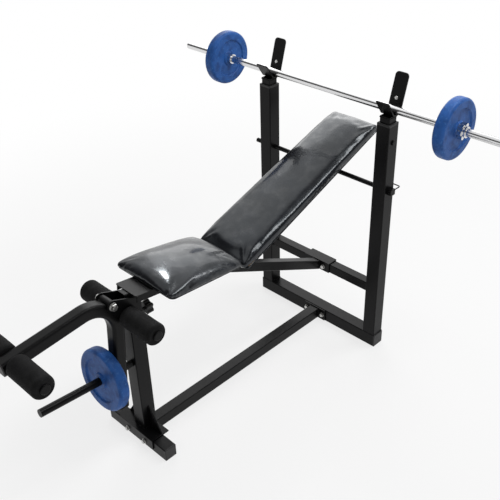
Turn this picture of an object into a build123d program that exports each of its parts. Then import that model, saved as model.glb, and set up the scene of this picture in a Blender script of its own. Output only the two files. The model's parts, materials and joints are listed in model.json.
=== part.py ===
from build123d import *
import math
import os

# Adjustable weight bench, millimetres. X runs along the bar, +Y to the rear, +Z up.
# The origin is the middle of the rear floor tube's underside.

# Rear frame
tube_size = 50.0
tube_wall = 2.0
tube_corner = 3.0
least_corner = 0.3
upright_span = 510.0
upright_top = 876.0
cross_size = 36.0
cross_height = 244.0
plug_depth = 18.0
plug_flange = 4.0
plug_rounding = 2.4
plug_clearance = 0.1

# Front end
foot_length = 278.0
foot_size = 44.0
foot_y = -889.0
post_y = -871.0
floor_rail_size = 40.0
floor_rail_bottom = 4.0
plate_thickness = 4.0
flange_width = 104.0
flange_height = 46.0
flange_corner = 4.0
flange_bolt_spacing = 76.0
saddle_length = 168.0
saddle_drop = 34.0
gusset_height = 88.0
gusset_foot = 56.0
foot_bolt_spacing = 84.0

# Main rail and pads
rail_size = 34.0
rail_corner = 3.0
rail_bend_radius = 120.0
rail_saddle_length = 115.0
rail_saddle_bolt_spacing = 60.0
seat_tilt = 7.5
rail_fall = 25.5
seat_front_y = -822.0
seat_front_z = 572.0
seat_length = 312.0
seat_front_width = 272.0
seat_rear_width = 240.0
seat_side = 23.0
seat_crown = 31.0
seat_swell_power = 2.2
back_gap = 7.5
back_tilt = 20.0
back_length = 734.0
back_lower_width = 242.0
back_upper_width = 215.0
back_side = 27.0
back_crown = 12.0
back_swell_power = 6.0
back_drop = 25.7
pad_stations = 10
pad_seam_tuck = 0.16
pad_end_width = 0.86
pad_end_side = 0.55
pad_end_crown = 0.1
pad_corner_power = 8
pad_corner_root = 0.25
pad_swell_root = 0.5
board_inset = 12.0
board_corner = 18.0
board_thickness = 12.0
strap_width = 40.0
strap_thickness = 3.0
strap_length = 170.0
strap_corner = 5.0
strap_screw_reach = 68.0
tongue_width = 95.0
tongue_depth = 23.0
tongue_front = 58.0
tongue_under = 90.0
tongue_screw_reach = 36.0
first_strap = 50.0
seat_strap_spacing = 130.0
screw_radius = 3.0
screw_head_radius = 6.0
screw_head_height = 3.0
screw_bite = 8.4

# Backrest hinge and support rod
back_rail_size = 32.0
back_rail_wall = 1.5
back_rail_corner = 2.0
back_rail_offset = 46.0
back_rail_length = 640.0
back_screw_places = (128.0, 588.0)
hinge_inset = 25.0
hinge_pin_radius = 6.0
hinge_ear_radius = 10.0
hinge_ear_reach = 34.0
hinge_spacer_radius = 9.6
hinge_washer_radius = 10.4
pin_clearance = 0.05
rod_radius = 8.0
rod_y = 0.0
rod_hole_clearance = 0.4
rest_gap = 0.3
rod_stub = 38.0
rod_block = 22.0
rod_block_corner = 3.0
rod_block_length = 16.0
clip_wire = 2.0
clip_length = 62.0
clip_reach = 50.0
clip_bend_radius = 7.0

# Catches
catch_tube_size = 38.0
catch_tube_wall = 2.0
catch_tube_corner = 2.5
catch_insert = 235.0
catch_show = 18.2
bush_height = 10.0
bush_flange = 8.0
bush_rounding = 2.4
bush_corner = 1.0
slide_clearance = 0.3
cradle_width = 48.0
cradle_thickness = 5.0
cradle_lip_rise = 49.0
cradle_lip_lean = 34.0
cradle_back_rise = 120.0
cradle_back_lean = 16.0
cradle_corner = 12.6
rivet_radius = 6.0
rivet_rise = 30.0
rivet_height = 3.0
rivet_rounding = 1.8
lock_screw_height = 819.0
lock_screw_radius = 4.0
lock_head_radius = 8.0
lock_head_height = 5.0
lock_head_rounding = 1.6

# Barbell, with plates on the bar and on the leg lever
bar_radius = 12.5
bar_length = 1376.0
bar_chamfer = 1.5
bar_y = 12.0
plate_inset = 207.0
plate_radius = 95.0
plate_width = 38.0
plate_rim = 28.0
plate_recess = 5.0
plate_hub = 24.0
plate_slope = 4.2
plate_rounding = 10.2
ring_radius = 17.0
ring_width = 14.0
star_radius = 26.0
star_width = 24.0
star_grip_width = 16.8
star_hub_radius = 17.5
star_lobes = 6
side_gap = 0.3

# Leg lever
pivot_y = -948.0
pivot_z = 572.0
lever_size = 42.0
lever_wall = 2.0
lever_corner = 10.0
lever_bend_radius = 95.0
lever_corner_y = -922.0
lever_corner_z = 590.0
weight_arm_lean = 4.5
weight_arm_length = 409.0
roller_arm_fall = 6.3
roller_arm_length = 371.0
sleeve_radius = 15.0
ear_thickness = 4.0
ear_radius = 19.0
knee_ear_radius = 15.2
ear_root_radius = 9.5
ear_tail_radius = 10.0
ear_tail_drop = 20.0
bolt_radius = 6.0
nut_size = 19.0
nut_height = 9.0
washer_radius = 13.0
washer_thickness = 2.0
peg_radius = 12.5
peg_z = 312.0
peg_length = 273.0
peg_collar_radius = 22.0
peg_collar_width = 10.0
lever_plate_radius = 101.0
bumper_radius = 11.0
roller_rod_radius = 7.5
roller_radius = 35.0
roller_length = 134.0
roller_side_gap = 0.6
roller_rounding = 10.0
cap_radius = 15.0
cap_height = 5.0
cap_rounding = 3.0
knee_rod_y = -904.0
knee_rod_z = 516.0
ankle_rod_back = 34.0

# Hand knob behind the post
knob_z = 483.0
stub_size = 43.0
stub_below_knob = 40.0
knob_radius = 22.0
knob_width = 24.0
knob_lobes = 5
knob_chamfer = 2.2
knob_standoff = 22.0
knob_shank_radius = 5.0

# Hand-grip outlines, as shares of their radius
lobe_reach = 0.72
lobe_valley = 0.08

# Small bolts
hex_size = 13.0
hex_height = 6.0
hex_washer_radius = 9.0
hex_washer_height = 1.6

os.makedirs("parts", exist_ok=True)


def save(name, *solids):
    """Write one node, as one solid or as a group of separate solids."""
    shape = solids[0] if len(solids) == 1 else Compound(children=list(solids))
    export_step(shape, f"parts/{name}.step")


def along_x(x, y, z):
    """Plane at a point, facing +X, with its own x along +Y."""
    return Plane(origin=(x, y, z), x_dir=(0, 1, 0), z_dir=(1, 0, 0))


def sideways(side, x, y, z):
    """Plane at a point, facing outward on one side: -1 is -X, 1 is +X."""
    return Plane(origin=(x, y, z), x_dir=(0, 1, 0), z_dir=(side, 0, 0))


def frontward(x, y, z):
    """Plane at a point, facing the front, -Y."""
    return Plane(origin=(x, y, z), x_dir=(1, 0, 0), z_dir=(0, -1, 0))


def along_y(x, y, z):
    """Plane at a point, facing +Y, with its own x along -X."""
    return Plane(origin=(x, y, z), x_dir=(-1, 0, 0), z_dir=(0, 1, 0))


def along_z(x, y, z):
    """Plane at a point, facing +Z."""
    return Plane(origin=(x, y, z), x_dir=(1, 0, 0), z_dir=(0, 0, 1))


def solid_bar(plane, width, height, corner, length):
    """Rounded rectangular bar that starts on a plane."""
    return extrude(plane * RectangleRounded(width, height, corner), length)


def hollow_bar(plane, size, wall, corner, length):
    """Square tube that starts on a plane."""
    outer = solid_bar(plane, size, size, corner, length)
    inside = max(corner - wall, least_corner)
    return outer - solid_bar(plane, size - 2 * wall, size - 2 * wall, inside, length)


def rod(plane, radius, length):
    """Round bar that starts on a plane."""
    return extrude(plane * Circle(radius), length)


def ring(plane, radius, bore, length):
    """Round sleeve that starts on a plane."""
    return extrude(plane * (Circle(radius) - Circle(bore)), length)


def box_between(low, high):
    """Box between two corners."""
    size = [b - a for a, b in zip(low, high)]
    middle = [(a + b) / 2 for a, b in zip(low, high)]
    return Pos(*middle) * Box(*size)


def hex_head(plane, size, height, washer_radius_here, washer_height):
    """Hexagon head on its washer, both seated on a plane and fused as one fastener."""
    washer = rod(plane, washer_radius_here, washer_height)
    head = extrude(plane.offset(washer_height) * RegularPolygon(size / 2, 6, major_radius=False), height)
    return washer + head


def turned(plane, outline):
    """Solid of revolution about a plane's own normal, from (radius, height) points and fillets."""
    flat = Plane(origin=plane.origin, x_dir=plane.x_dir, z_dir=-plane.y_dir)
    return revolve(flat * outline, Axis(plane.origin, plane.z_dir))


def lobed(radius, count):
    """Hand-grip outline: a disc with round lobes and softened valleys."""
    reach = radius * lobe_reach
    outline = Circle(reach)
    for index in range(count):
        angle = 2 * math.pi * index / count
        outline += Pos(reach * math.cos(angle), reach * math.sin(angle)) * Circle(radius - reach)
    return fillet(outline.vertices(), radius * lobe_valley)


def round_plate(*circles):
    """Outline round several circles, each given as radius and place."""
    return make_hull([(Pos(u, v) * Circle(radius)).edge() for radius, u, v in circles])


def plug(plane, size, wall, corner, clearance):
    """Plastic plug for a square tube end: a rounded flange outside and a shank inside the walls."""
    flange = solid_bar(plane, size, size, corner, plug_flange)
    outer_face = flange.faces().sort_by(Axis(plane.origin, plane.z_dir))[-1]
    flange = fillet(outer_face.edges(), plug_rounding)
    inside = size - 2 * wall - 2 * clearance
    shank = solid_bar(plane.offset(-plug_depth), inside, inside, max(corner - wall, least_corner), plug_depth)
    return flange + shank


def pad_section(plane, width, side, crown):
    """Cushion cross-section: flat base, bulging sides drawn in at both seams, crowned top."""
    tuck = side * pad_seam_tuck
    half = width / 2
    base = Line((-half + tuck, 0), (half - tuck, 0))
    right = ThreePointArc((half - tuck, 0), (half, side / 2), (half - tuck, side))
    top = ThreePointArc((half - tuck, side), (0, side + crown), (-half + tuck, side))
    left = ThreePointArc((-half + tuck, side), (-half, side / 2), (-half + tuck, 0))
    return plane * make_face([base, right, top, left])


def cushion(start, length, near_width, far_width, side, crown, swell_power):
    """Crowned cushion along a plane's normal, drawn in at both ends."""
    sections = []
    for index in range(pad_stations + 1):
        share = (1 - math.cos(math.pi * index / pad_stations)) / 2
        from_middle = abs(2 * share - 1)
        fullness = (1 - from_middle ** pad_corner_power) ** pad_corner_root
        swell = (1 - from_middle ** swell_power) ** pad_swell_root
        width = near_width + (far_width - near_width) * share
        width *= pad_end_width + (1 - pad_end_width) * fullness
        height = side * (pad_end_side + (1 - pad_end_side) * swell)
        rise = crown * (pad_end_crown + (1 - pad_end_crown) * swell)
        sections.append(pad_section(start.offset(length * share), width, height, rise))
    return loft(sections)


# Derived places
half_span = upright_span / 2
plate_offset = bar_length / 2 - plate_inset
half_tube = tube_size / 2
half_cross = cross_size / 2
catch_top = upright_top + bush_flange + catch_show
bar_rest = catch_top + plate_thickness
bar_z = bar_rest + cradle_thickness + rest_gap + bar_radius
rest_offset = back_rail_size + rest_gap + rod_radius
seat_slope = math.radians(seat_tilt)
back_slope = math.radians(back_tilt)
fall_slope = math.radians(rail_fall)

# Seat plane: it starts at the seat's front lower edge and runs to the rear, a little downhill.
seat_run = Vector(0, math.cos(seat_slope), -math.sin(seat_slope))
seat_up = Vector(0, math.sin(seat_slope), math.cos(seat_slope))
seat_start = Vector(0, seat_front_y, seat_front_z)
seat_end = seat_start + seat_run * seat_length

# Back plane: it starts behind the seat and runs to the rear, uphill.
back_run = Vector(0, math.cos(back_slope), math.sin(back_slope))
back_up = Vector(0, -math.sin(back_slope), math.cos(back_slope))
back_start = seat_end + Vector(0, back_gap, -back_drop)
rod_z = back_start.Z + (rod_y - back_start.Y) * math.tan(back_slope) - rest_offset / math.cos(back_slope)
hinge = back_start + back_run * hinge_inset - back_up * (back_rail_size / 2)


def seat_frame(distance, height):
    """Plane across the seat, facing to the rear, at a distance and height on the seat plane."""
    return Plane(origin=seat_start + seat_run * distance + seat_up * height, x_dir=(-1, 0, 0), z_dir=seat_run)


def back_frame(distance, height):
    """Plane across the backrest, facing up along it."""
    return Plane(origin=back_start + back_run * distance + back_up * height, x_dir=(-1, 0, 0), z_dir=back_run)


# Uprights, with through holes for the support rod and for the lock screws
bushes = []
lock_screws = []
for name, side in (("left", -1), ("right", 1)):
    upright = hollow_bar(along_z(side * half_span, 0, tube_size), tube_size, tube_wall, tube_corner,
                         upright_top - tube_size)
    outside = along_x(side * half_span - tube_size, rod_y, rod_z)
    upright -= rod(outside, rod_radius + rod_hole_clearance, 2 * tube_size)
    screw_from = along_x(side * half_span + (0 if side > 0 else -tube_size), 0, lock_screw_height)
    upright -= rod(screw_from, lock_screw_radius, tube_size)
    save(f"{name}_upright", upright)

    bush_plane = along_z(side * half_span, 0, upright_top)
    bush_bore = catch_tube_size + 2 * slide_clearance
    bush = solid_bar(bush_plane, tube_size, tube_size, tube_corner, bush_flange)
    bush = fillet(bush.faces().sort_by(Axis.Z)[-1].edges(), bush_rounding)
    bush_shank = tube_size - 2 * tube_wall - 2 * plug_clearance
    bush += solid_bar(bush_plane.offset(-bush_height), bush_shank, bush_shank, bush_corner, bush_height)
    bush -= solid_bar(bush_plane.offset(-2 * bush_height), bush_bore, bush_bore, bush_corner, 4 * bush_height)
    bushes.append(bush)

    face = side * (half_span + half_tube)
    reach = tube_size / 2 - catch_tube_size / 2 - rest_gap
    lock_plane = sideways(side, face, 0, lock_screw_height)
    lock_screw = rod(lock_plane.offset(-reach), lock_screw_radius, reach)
    lock_head = rod(lock_plane, lock_head_radius, lock_head_height)
    head_edge = lock_head.edges().sort_by(Axis(lock_plane.origin, lock_plane.z_dir))[-1]
    lock_screw += fillet(head_edge, lock_head_rounding)
    lock_screws.append(lock_screw)

save("upright_bushes", *bushes)
save("catch_lock_screws", *lock_screws)

# Floor tube, its plugs and the middle cross tube
floor_start = along_x(-half_span - half_tube, 0, half_tube)
floor_tube_length = upright_span + tube_size
floor_tube = hollow_bar(floor_start, tube_size, tube_wall, tube_corner, floor_tube_length)
save("rear_floor_tube", floor_tube)
floor_plugs = []
for side in (-1, 1):
    end_plane = sideways(side, side * floor_tube_length / 2, 0, half_tube)
    floor_plugs.append(plug(end_plane, tube_size, tube_wall, tube_corner, plug_clearance))
save("floor_tube_plugs", *floor_plugs)
cross_start = along_x(-half_span + half_tube, 0, cross_height)
cross_length = upright_span - tube_size
save("middle_cross_tube", hollow_bar(cross_start, cross_size, tube_wall, tube_corner, cross_length))

# Front foot, its plugs and the folded saddle with two gussets
foot_start = along_x(-foot_length / 2, foot_y, foot_size / 2)
save("front_foot", hollow_bar(foot_start, foot_size, tube_wall, tube_corner, foot_length))
foot_plugs = []
for side in (-1, 1):
    end_plane = sideways(side, side * foot_length / 2, foot_y, foot_size / 2)
    foot_plugs.append(plug(end_plane, foot_size, tube_wall, tube_corner, plug_clearance))
save("front_foot_plugs", *foot_plugs)

saddle_top = foot_size + plate_thickness
saddle_half = saddle_length / 2
saddle_front = foot_y - foot_size / 2 - plate_thickness
saddle_rear = post_y + tube_size / 2
saddle = box_between((-saddle_half, saddle_front, foot_size), (saddle_half, saddle_rear, saddle_top))
saddle += box_between((-saddle_half, saddle_front, saddle_top - saddle_drop),
                      (saddle_half, saddle_front + plate_thickness, saddle_top))
half_post = tube_size / 2
for side in (-1, 1):
    inner = side * half_post
    outer = side * (half_post + gusset_foot)
    gusset_tip = saddle_top + gusset_height
    triangle = Polyline((inner, saddle_top), (outer, saddle_top), (inner, gusset_tip), close=True)
    gusset_plane = frontward(0, post_y + plate_thickness / 2, 0)
    saddle += extrude(gusset_plane * make_face(triangle), plate_thickness)
save("foot_saddle", saddle)

frame_bolts = []
for side in (-1, 1):
    head_plane = frontward(side * foot_bolt_spacing / 2, saddle_front, foot_size / 2)
    frame_bolts.append(hex_head(head_plane, hex_size, hex_height, hex_washer_radius, hex_washer_height))

# Floor rail from the front foot to the bolted flange on the rear floor tube
rail_front_y = foot_y + foot_size / 2
flange_face = -half_tube
rail_rear_y = flange_face - plate_thickness
floor_rail_z = floor_rail_bottom + floor_rail_size / 2
floor_rail = hollow_bar(along_y(0, rail_front_y, floor_rail_z), floor_rail_size, tube_wall, tube_corner,
                        rail_rear_y - rail_front_y)
save("floor_rail", floor_rail)
flange_plane = along_y(0, rail_rear_y, tube_size / 2)
flange = solid_bar(flange_plane, flange_width, flange_height, flange_corner, plate_thickness)
save("floor_rail_flange", flange)
for side in (-1, 1):
    head_plane = frontward(side * flange_bolt_spacing / 2, rail_rear_y, tube_size / 2)
    frame_bolts.append(hex_head(head_plane, hex_size, hex_height, hex_washer_radius, hex_washer_height))

# Main rail: level with the seat in front, then down to the middle cross tube
rail_half = rail_size / 2
rail_line_z = -strap_thickness - rail_half
front_end = seat_start + seat_run * ((post_y - half_post - seat_front_y) / math.cos(seat_slope))
front_end = front_end + seat_up * rail_line_z
rear_saddle_gap = half_cross + plate_thickness
rear_end_y = -rear_saddle_gap
rear_end_z = cross_height
down = math.tan(fall_slope)
level = math.tan(seat_slope)
bend_y = (rear_end_z + down * rear_end_y - front_end.Z - level * front_end.Y) / (down - level)
bend_z = front_end.Z - level * (bend_y - front_end.Y)
rail_path = FilletPolyline((0, front_end.Y, front_end.Z), (0, bend_y, bend_z), (0, rear_end_y, rear_end_z),
                           radius=rail_bend_radius)
rail_mouth = Plane(origin=front_end, x_dir=(1, 0, 0), z_dir=seat_run)
rail_outer = sweep(rail_mouth * RectangleRounded(rail_size, rail_size, rail_corner), rail_path)
rail_inner_size = rail_size - 2 * tube_wall
rail_hole = RectangleRounded(rail_inner_size, rail_inner_size, rail_corner - tube_wall)
rail_inner = sweep(rail_mouth * rail_hole, rail_path)
rear_cut = box_between((-rail_size, -rear_saddle_gap, 0), (rail_size, half_span, upright_top))
main_rail = rail_outer - rail_inner - rear_cut
save("main_rail", main_rail)

# Saddle that hooks the main rail over the middle cross tube, with its two bolts
saddle_low = cross_height - half_cross
saddle_high = cross_height + half_cross
rail_saddle = box_between((-rail_saddle_length / 2, -rear_saddle_gap, saddle_low),
                          (rail_saddle_length / 2, rear_saddle_gap, saddle_high + plate_thickness))
rail_saddle -= box_between((-rail_saddle_length, -half_cross, saddle_low - plate_thickness),
                           (rail_saddle_length, half_cross, saddle_high))
save("rail_saddle", rail_saddle)
for side in (-1, 1):
    head_plane = frontward(side * rail_saddle_bolt_spacing / 2, -rear_saddle_gap, cross_height)
    frame_bolts.append(hex_head(head_plane, hex_size, hex_height, hex_washer_radius, hex_washer_height))
save("frame_bolts", *frame_bolts)

# Front post under the rail, the stub inside it and the hand knob that locks the stub
rail_under = Plane(origin=front_end - seat_up * rail_half, x_dir=(1, 0, 0), z_dir=seat_up)
above_rail = extrude(rail_under * Rectangle(upright_span, upright_span), upright_span)
post = hollow_bar(along_z(0, post_y, saddle_top), tube_size, tube_wall, tube_corner, pivot_z - saddle_top)
knob_plane = along_y(0, post_y + half_post, knob_z)
post -= rod(knob_plane.offset(-tube_size / 2), knob_shank_radius + plug_clearance, tube_size)
post -= above_rail
save("front_post", post)
stub_foot = knob_z - stub_below_knob
stub = hollow_bar(along_z(0, post_y, stub_foot), stub_size, tube_wall, tube_corner, pivot_z - stub_foot)
save("rail_stub", stub - above_rail)

shank_reach = half_post - stub_size / 2 - rest_gap
knob_head_plane = knob_plane.offset(knob_standoff)
knob_body = extrude(knob_head_plane * lobed(knob_radius, knob_lobes), knob_width)
knob_body = chamfer(knob_body.faces().sort_by(Axis.Y)[-1].edges(), knob_chamfer)
knob_body += rod(knob_plane.offset(-shank_reach), knob_shank_radius, knob_standoff + shank_reach)
save("post_knob", knob_body)

# Two ears on the post sides, which carry the lever pivot and the knee roller rod
ear_root_y = post_y - half_post + ear_root_radius
ears = []
for side in (-1, 1):
    ear_plane = along_x(side * half_post if side > 0 else -half_post - ear_thickness, 0, 0)
    outline = round_plate((ear_radius, pivot_y, pivot_z), (knee_ear_radius, knee_rod_y, knee_rod_z),
                          (ear_root_radius, ear_root_y, knee_rod_z - ear_radius),
                          (ear_tail_radius, post_y, pivot_z - ear_tail_drop))
    ear = extrude(ear_plane * outline, ear_thickness)
    ear -= rod(along_x(-tube_size, pivot_y, pivot_z), bolt_radius + pin_clearance, 2 * tube_size)
    ear -= rod(along_x(-tube_size, knee_rod_y, knee_rod_z), roller_rod_radius + pin_clearance, 2 * tube_size)
    ears.append(ear)
save("pivot_ears", *ears)
ear_outside = half_post + ear_thickness
bolt_start = along_x(-ear_outside, pivot_y, pivot_z)
bolt_head = hex_head(sideways(-1, -ear_outside, pivot_y, pivot_z),
                     nut_size, nut_height, washer_radius, washer_thickness)
bolt_tail = 2 * ear_outside + washer_thickness + nut_height + washer_thickness
pivot_bolt = rod(bolt_start, bolt_radius, bolt_tail) + bolt_head
save("pivot_bolt", pivot_bolt)
nut_plane = along_x(ear_outside, pivot_y, pivot_z)
pivot_nut = hex_head(nut_plane, nut_size, nut_height, washer_radius, washer_thickness)
save("pivot_nut", pivot_nut - pivot_bolt)


def foam_roller(plane):
    """Foam sleeve with rounded ends, from a plane outward."""
    outline = Pos((roller_radius + roller_rod_radius + pin_clearance) / 2, roller_length / 2) * Rectangle(
        roller_radius - roller_rod_radius - pin_clearance, roller_length)
    outer = outline.vertices().sort_by(Axis.X)[-2:]
    return turned(plane, fillet(outer, roller_rounding))


def roller_set(rod_name, prefix, y, z, inside):
    """Rod with push-on end caps and a foam roller on each side."""
    end = inside + roller_side_gap + roller_length + rest_gap
    bar = rod(along_x(-end, y, z), roller_rod_radius, 2 * end)
    for side, word in ((-1, "left"), (1, "right")):
        outward = sideways(side, side * end, y, z)
        cap = rod(outward, cap_radius, cap_height)
        bar += fillet(cap.edges().sort_by(Axis(outward.origin, outward.z_dir))[-1], cap_rounding)
        start = sideways(side, side * (inside + roller_side_gap), y, z)
        save(f"{word}_{prefix}_roller", foam_roller(start))
    save(rod_name, bar)


roller_set("knee_roller_rod", "knee", knee_rod_y, knee_rod_z, ear_outside)

# Leg lever: one bent tube with a pivot sleeve welded outside its bend
lean = math.radians(weight_arm_lean)
fall = math.radians(roller_arm_fall)
arm_down = Vector(0, -math.sin(lean), -math.cos(lean))
arm_out = Vector(0, -math.cos(fall), -math.sin(fall))
lever_turn = Vector(0, lever_corner_y, lever_corner_z)
arm_foot = lever_turn + arm_down * weight_arm_length
arm_end = lever_turn + arm_out * roller_arm_length
lever_path = FilletPolyline(arm_foot, lever_turn, arm_end, radius=lever_bend_radius)
lever_mouth = Plane(origin=arm_foot, x_dir=(1, 0, 0), z_dir=arm_down * -1)
lever_hole = lever_size - 2 * lever_wall
lever_outer = sweep(lever_mouth * RectangleRounded(lever_size, lever_size, lever_corner), lever_path)
lever_bore = RectangleRounded(lever_hole, lever_hole, lever_corner - lever_wall)
lever_inner = sweep(lever_mouth * lever_bore, lever_path)
sleeve_length = tube_size - 2 * rest_gap
sleeve_plane = along_x(-sleeve_length / 2, pivot_y, pivot_z)
ankle = arm_end - arm_out * ankle_rod_back
ankle_hole = rod(along_x(-lever_size, ankle.Y, ankle.Z), roller_rod_radius, 2 * lever_size)
lever_arm = lever_outer - lever_inner - rod(sleeve_plane, sleeve_radius, sleeve_length) - ankle_hole
save("lever_arm", lever_arm)
save("lever_pivot_sleeve", ring(sleeve_plane, sleeve_radius, bolt_radius + pin_clearance, sleeve_length))
roller_set("ankle_roller_rod", "ankle", ankle.Y, ankle.Z, lever_size / 2)
lever_plugs = []
for end, outward in ((arm_foot, arm_down), (arm_end, arm_out)):
    end_plane = Plane(origin=end, x_dir=(1, 0, 0), z_dir=outward)
    lever_plugs.append(plug(end_plane, lever_size, lever_wall, lever_corner, plug_clearance))
save("lever_plugs", *lever_plugs)

# Weight peg on the hanging arm, and the rubber bumper between the arm and the post
arm_at_peg = lever_turn.Y - (lever_turn.Z - peg_z) * math.tan(lean)
arm_front = Vector(0, -math.cos(lean), math.sin(lean))
peg_plane = Plane(origin=(0, arm_at_peg, peg_z), x_dir=(1, 0, 0), z_dir=arm_front)
peg_seat = lever_size / 2 + peg_collar_width
peg = rod(peg_plane, peg_radius, peg_length) + rod(peg_plane, peg_collar_radius, peg_seat)
peg -= lever_outer
save("weight_peg", peg)
post_front = post_y - half_post
bumper_plane = frontward(0, post_front, peg_z)
bumper = rod(bumper_plane, bumper_radius, post_front - arm_at_peg)
arm_face = peg_plane.offset(-lever_size / 2 - rest_gap)
beyond = extrude(arm_face * Rectangle(2 * tube_size, 2 * tube_size), 2 * tube_size)
save("lever_bumper", bumper - beyond)


def weight_plate(plane, bore, radius):
    """Weight plate about a plane's normal, centred on the plane: rounded rim, recessed web, raised hub."""
    half = plate_width / 2
    web = half - plate_recess
    rim_inside = radius - plate_rim
    side = [(bore, half), (plate_hub, half), (plate_hub + plate_slope, web), (rim_inside - plate_slope, web),
            (rim_inside, half), (radius, half)]
    mirrored = [(out, -height) for out, height in reversed(side)]
    outline = make_face(Polyline(*side, *mirrored, close=True))
    rim = outline.vertices().sort_by(Axis.X)[-2:]
    return turned(plane, fillet(rim, plate_rounding))


lever_plate_plane = peg_plane.offset(peg_seat + side_gap + plate_width / 2)
save("lever_plate", weight_plate(lever_plate_plane, peg_radius + plug_clearance, lever_plate_radius))

# Barbell: bar with two inner rings, two plates and two star collars
bar_start = along_x(-bar_length / 2, bar_y, bar_z)
bar = rod(bar_start, bar_radius, bar_length)
bar = chamfer(bar.edges(), bar_chamfer)
save("barbell_bar", bar)
rings = []
for side, word in ((-1, "left"), (1, "right")):
    middle = sideways(side, side * plate_offset, bar_y, bar_z)
    ring_plane = middle.offset(-plate_width / 2 - side_gap - ring_width)
    rings.append(ring(ring_plane, ring_radius, bar_radius, ring_width))
    save(f"{word}_bar_plate", weight_plate(middle, bar_radius + plug_clearance, plate_radius))
    star_plane = middle.offset(plate_width / 2 + side_gap)
    star = extrude(star_plane * lobed(star_radius, star_lobes), star_grip_width)
    star += rod(star_plane, star_hub_radius, star_width)
    star -= rod(star_plane, bar_radius + pin_clearance, star_width)
    save(f"{word}_star_collar", star)
save("bar_inner_rings", *rings)

# Catches: telescoping tube, base plate and a bent strip that holds the bar
lip_lean = math.radians(cradle_lip_lean)
back_lean = math.radians(cradle_back_lean)
strip_radius = bar_radius + rest_gap + cradle_thickness / 2
strip_z = bar_rest + cradle_thickness / 2
strip_half = strip_radius + rest_gap
for side, word in ((-1, "left"), (1, "right")):
    x = side * half_span
    tube_foot = along_z(x, 0, catch_top - catch_insert)
    catch_tube = hollow_bar(tube_foot, catch_tube_size, catch_tube_wall, catch_tube_corner, catch_insert)
    save(f"{word}_catch_tube", catch_tube)
    lip_top = (x, bar_y - strip_half - cradle_lip_rise * math.tan(lip_lean), strip_z + cradle_lip_rise)
    front_turn = (x, bar_y - strip_half, strip_z)
    rear_turn = (x, bar_y + strip_half, strip_z)
    back_top = (x, bar_y + strip_half + cradle_back_rise * math.tan(back_lean), strip_z + cradle_back_rise)
    strip_path = FilletPolyline(lip_top, front_turn, rear_turn, back_top, radius=strip_radius)
    start = Plane(origin=lip_top, x_dir=(1, 0, 0), z_dir=Vector(*front_turn) - Vector(*lip_top))
    strip = sweep(start * Rectangle(cradle_width, cradle_thickness), strip_path)
    short_edges = strip.edges().filter_by(lambda edge: edge.length < cradle_thickness + rest_gap)
    strip = fillet(short_edges.sort_by(Axis.Z)[-2:], cradle_corner)
    half_catch = catch_tube_size / 2
    base = box_between((x - half_catch, -half_catch, catch_top), (x + half_catch, half_catch, bar_rest))
    save(f"{word}_catch_cradle", strip + base)
    rivet_y = bar_y + strip_half + (rivet_rise + bar_radius) * math.tan(back_lean)
    face_out = Vector(0, -math.cos(back_lean), math.sin(back_lean))
    rivet_at = Vector(x, rivet_y, strip_z + bar_radius + rivet_rise) + face_out * (cradle_thickness / 2)
    rivet = rod(Plane(origin=rivet_at, x_dir=(1, 0, 0), z_dir=face_out), rivet_radius, rivet_height)
    tip = rivet.edges().sort_by(Axis(rivet_at, face_out))[-1]
    save(f"{word}_catch_rivet", fillet(tip, rivet_rounding))

# Support rod through the uprights, with the block welded on its end and the block's wire clip
rod_left = -half_span - half_tube - rod_stub
rod_right = half_span + half_tube + rest_gap
save("support_rod", rod(along_x(rod_left, rod_y, rod_z), rod_radius, rod_right - rod_left))
block_plane = along_x(rod_right, rod_y, rod_z)
end_block = solid_bar(block_plane, rod_block, rod_block, rod_block_corner, rod_block_length)
clip_x = rod_right + rod_block_length / 2
clip_hole = along_y(clip_x, rod_y - rod_block, rod_z)
end_block -= rod(clip_hole, clip_wire + pin_clearance, 2 * rod_block)
save("rod_end_block", end_block)
clip_front = rod_y - rod_block / 2 - 2 * clip_wire
clip_rear = rod_y + clip_reach
clip_path = FilletPolyline((clip_x, clip_front, rod_z), (clip_x, clip_rear, rod_z),
                           (clip_x - clip_length, clip_rear, rod_z), radius=clip_bend_radius)
save("rod_clip", sweep(along_y(clip_x, clip_front, rod_z) * Circle(clip_wire), clip_path))


def board(plane, length, near_width, far_width):
    """Pad board with rounded corners, on a plane whose own y runs along the pad."""
    near = near_width / 2 - board_inset
    far = far_width / 2 - board_inset
    last = length - board_inset
    corners = [(-near, board_inset), (near, board_inset), (far, last), (-far, last)]
    outline = make_face(Polyline(*corners, close=True))
    return extrude(plane * fillet(outline.vertices(), board_corner), board_thickness)


def screw(plane, grip):
    """Pan-head screw seated under a plane that faces into the board."""
    head = rod(plane.offset(-screw_head_height), screw_head_radius, screw_head_height)
    return head + rod(plane, screw_radius, grip)


# Seat: board and pad, on two straps that lie on the rail
seat_plane = Plane(origin=seat_start, x_dir=(1, 0, 0), z_dir=seat_up)
seat_board = board(seat_plane, seat_length, seat_front_width, seat_rear_width)
seat_pad = cushion(seat_frame(0, 0), seat_length, seat_front_width, seat_rear_width, seat_side, seat_crown,
                   seat_swell_power)
seat_pad -= seat_board
seat_screws = []
rear_strap = first_strap + seat_strap_spacing
for distance, reach in ((first_strap, tongue_screw_reach), (rear_strap, strap_screw_reach)):
    for side in (-1, 1):
        spot = Plane(seat_plane * Pos(side * reach, distance, -strap_thickness))
        seat_screws.append(screw(spot, strap_thickness + screw_bite))

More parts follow.
